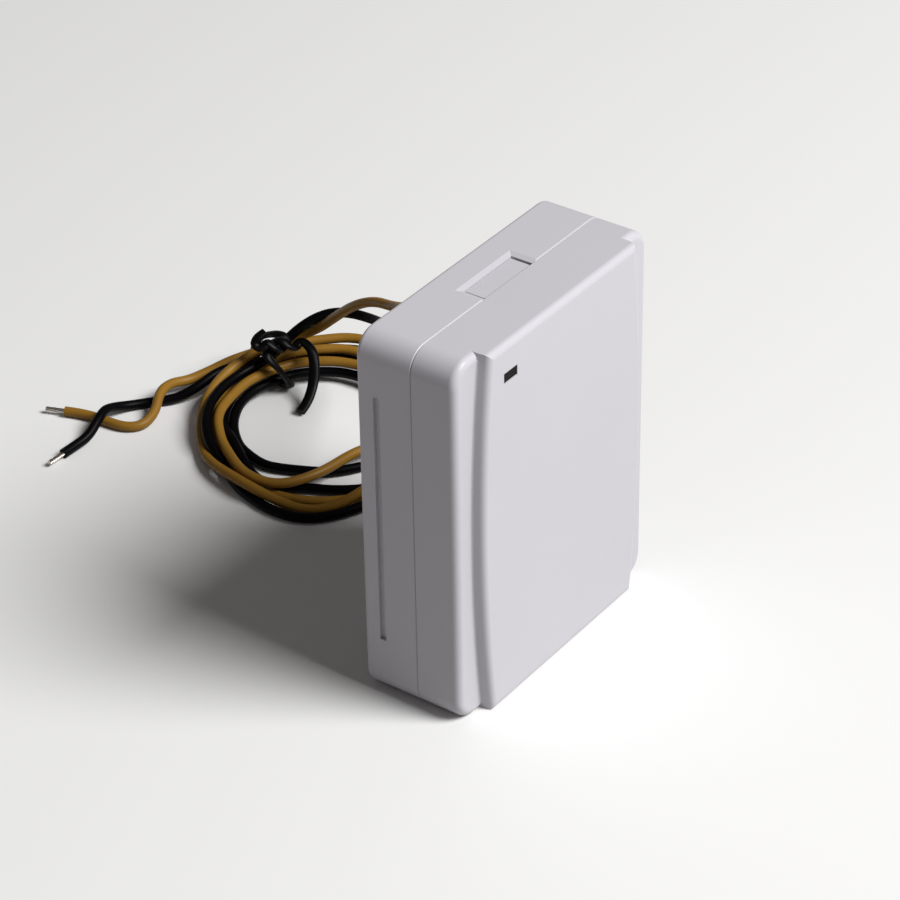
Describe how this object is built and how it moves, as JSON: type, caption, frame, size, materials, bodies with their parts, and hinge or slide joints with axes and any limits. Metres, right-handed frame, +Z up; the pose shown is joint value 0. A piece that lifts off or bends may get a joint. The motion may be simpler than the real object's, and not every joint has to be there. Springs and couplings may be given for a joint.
{
  "type": "dry contact sensor",
  "caption": "Small two-part wall box with a hinged front cover, a radio board and battery inside, and a two-wire input lead coiled and tied behind it, ending in bare tips.",
  "frame": {"origin": "middle of the box's base, seen from above; the lead isn't counted", "axes": "+X to the right seen from the front, -Y out of the front face, +Y towards the wall, +Z up"},
  "size_m": [0.0818, 0.1157, 0.066],
  "materials": {
    "housing": "satin",
    "window": "gloss",
    "clear_plastic": "gloss",
    "board": "satin",
    "plated_steel": "satin",
    "black_plastic": "satin",
    "white_plastic": "satin",
    "red_plastic": "satin",
    "green_plastic": "satin",
    "aluminium_can": "satin",
    "gold_pins": "gloss",
    "tinned_copper": "satin",
    "battery_wrap": "gloss",
    "grommet_rubber": "matte",
    "yellow_insulation": "satin",
    "black_insulation": "satin"
  },
  "bodies": {
    "housing": {"rear_housing": "housing", "circuit_board": "board", "board_screws": "plated_steel", "tamper_switch": "black_plastic", "learn_switch": "black_plastic", "terminal_block": "green_plastic", "terminal_screws": "plated_steel", "radio_module": "board", "radio_shield": "plated_steel", "controller_chip": "black_plastic", "crystal": "plated_steel", "capacitor": "aluminium_can", "service_header": "black_plastic", "header_pins": "gold_pins", "antenna": "tinned_copper", "battery": "battery_wrap", "positive_contact": "plated_steel", "negative_contact": "plated_steel", "indicator_led": "clear_plastic", "wire_grommet": "grommet_rubber", "yellow_wire_inside": "yellow_insulation", "yellow_wire_lead": "yellow_insulation", "yellow_wire_coil": "yellow_insulation", "yellow_wire_tail": "yellow_insulation", "yellow_conductor": "tinned_copper", "black_wire_inside": "black_insulation", "black_wire_lead": "black_insulation", "black_wire_coil": "black_insulation", "black_wire_tail": "black_insulation", "black_conductor": "tinned_copper", "wire_tie": "black_plastic"},
    "cover": {"front_cover": "housing", "led_window": "window", "light_pipe": "clear_plastic"},
    "latch": {"latch_tab": "housing"},
    "tamper_pin": {"tamper_plunger": "white_plastic"},
    "learn_cap": {"learn_button": "red_plastic"}
  },
  "joints": [
    {"name": "cover_hinge", "type": "hinge", "parent": "housing", "child": "cover", "pos_m": [0, -0.00048, 0.0004], "axis": [1, 0, 0], "range_deg": [0, 60]},
    {"name": "latch_press", "type": "hinge", "parent": "cover", "child": "latch", "pos_m": [0, -0.00008, 0.0644], "axis": [-1, 0, 0], "range_deg": [0, 6], "stiffness_Nm_per_rad": 0.2},
    {"name": "tamper_travel", "type": "slide", "parent": "housing", "child": "tamper_pin", "axis": [0, -1, 0], "range_m": [0, 0.0008]},
    {"name": "learn_press", "type": "slide", "parent": "housing", "child": "learn_cap", "axis": [0, 1, 0], "range_m": [0, 0.00025], "stiffness_N_per_m": 4000}
  ],
  "couplings": [
    {"joint": "tamper_travel", "follows": "cover_hinge", "m_per_rad": 0.00076394}
  ]
}
